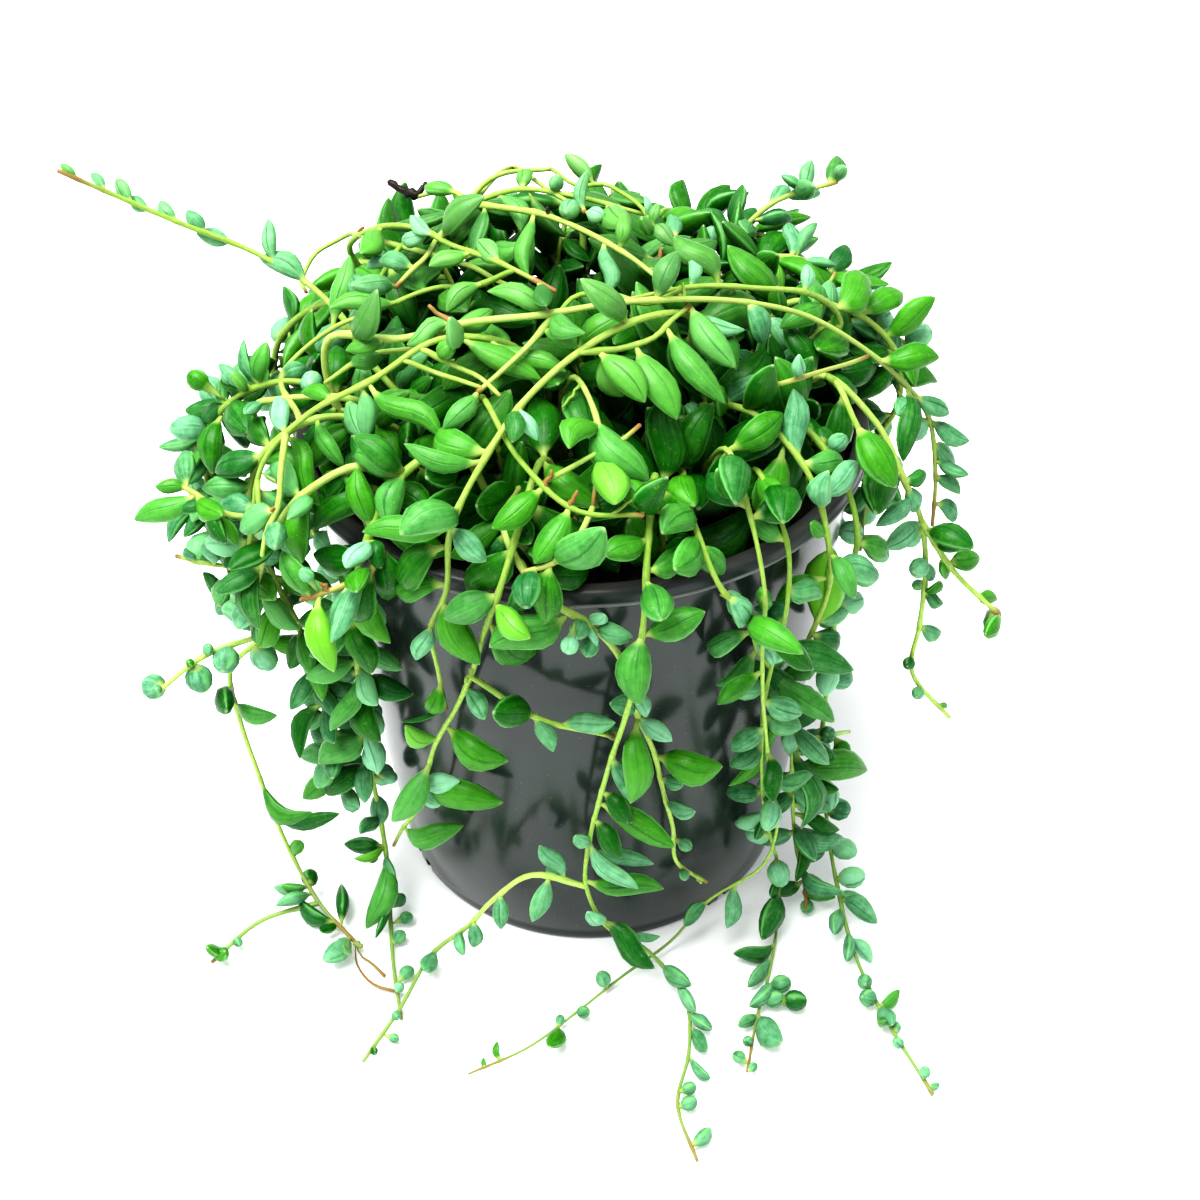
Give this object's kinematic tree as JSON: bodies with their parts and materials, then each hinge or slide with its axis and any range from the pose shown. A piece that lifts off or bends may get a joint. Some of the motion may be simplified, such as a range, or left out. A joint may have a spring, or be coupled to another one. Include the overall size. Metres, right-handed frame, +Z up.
{
  "type": "potted string of watermelons",
  "caption": "Round black nursery pot of soil with a dense crown of trailing stems that carry plump pointed leaves and small round beads.",
  "frame": {"origin": "centre of the pot's base, on its underside", "axes": "+Z up along the pot's axis, -Y towards the viewer of the picture, +X to the viewer's right"},
  "size_m": [0.2181, 0.2273, 0.202],
  "materials": {
    "pot_plastic": "satin",
    "soil_mix": "matte",
    "plant_green": "satin",
    "plant_blue_green": "satin"
  },
  "bodies": {
    "root": {"pot": "pot_plastic", "soil": "soil_mix", "stem_arc_front": "plant_green", "stem_arc_left": "plant_green", "stem_arc_low": "plant_green", "stem_arc_middle": "plant_green", "stem_arc_over": "plant_blue_green", "stem_arc_right": "plant_green", "stem_back_1": "plant_blue_green", "stem_back_2": "plant_blue_green", "stem_back_3": "plant_blue_green", "stem_back_4": "plant_blue_green", "stem_back_5": "plant_blue_green", "stem_back_6": "plant_blue_green", "stem_back_7": "plant_blue_green", "stem_back_8": "plant_blue_green", "stem_back_9": "plant_blue_green", "stem_front_bead": "plant_blue_green", "stem_front_left": "plant_green", "stem_front_trail": "plant_blue_green", "stem_left_bend": "plant_green", "stem_left_dense": "plant_green", "stem_left_front": "plant_blue_green", "stem_left_hang": "plant_green", "stem_left_trail": "plant_blue_green", "stem_right_floor": "plant_blue_green", "stem_right_front": "plant_green", "stem_right_hang": "plant_blue_green", "stem_right_inner": "plant_blue_green", "stem_right_rim": "plant_green", "stem_right_tip": "plant_blue_green", "stem_right_trail": "plant_blue_green", "stem_top_hub": "plant_green", "stem_top_left": "plant_green", "stem_tuft_1": "plant_green", "stem_tuft_10": "plant_green", "stem_tuft_11": "plant_green", "stem_tuft_12": "plant_green", "stem_tuft_13": "plant_green", "stem_tuft_14": "plant_green", "stem_tuft_15": "plant_green", "stem_tuft_16": "plant_green", "stem_tuft_2": "plant_green", "stem_tuft_3": "plant_green", "stem_tuft_4": "plant_green", "stem_tuft_5": "plant_green", "stem_tuft_6": "plant_green", "stem_tuft_7": "plant_green", "stem_tuft_8": "plant_green", "stem_tuft_9": "plant_green", "stem_upper_left": "plant_blue_green", "stem_upper_right": "plant_green"}
  },
  "joints": []
}
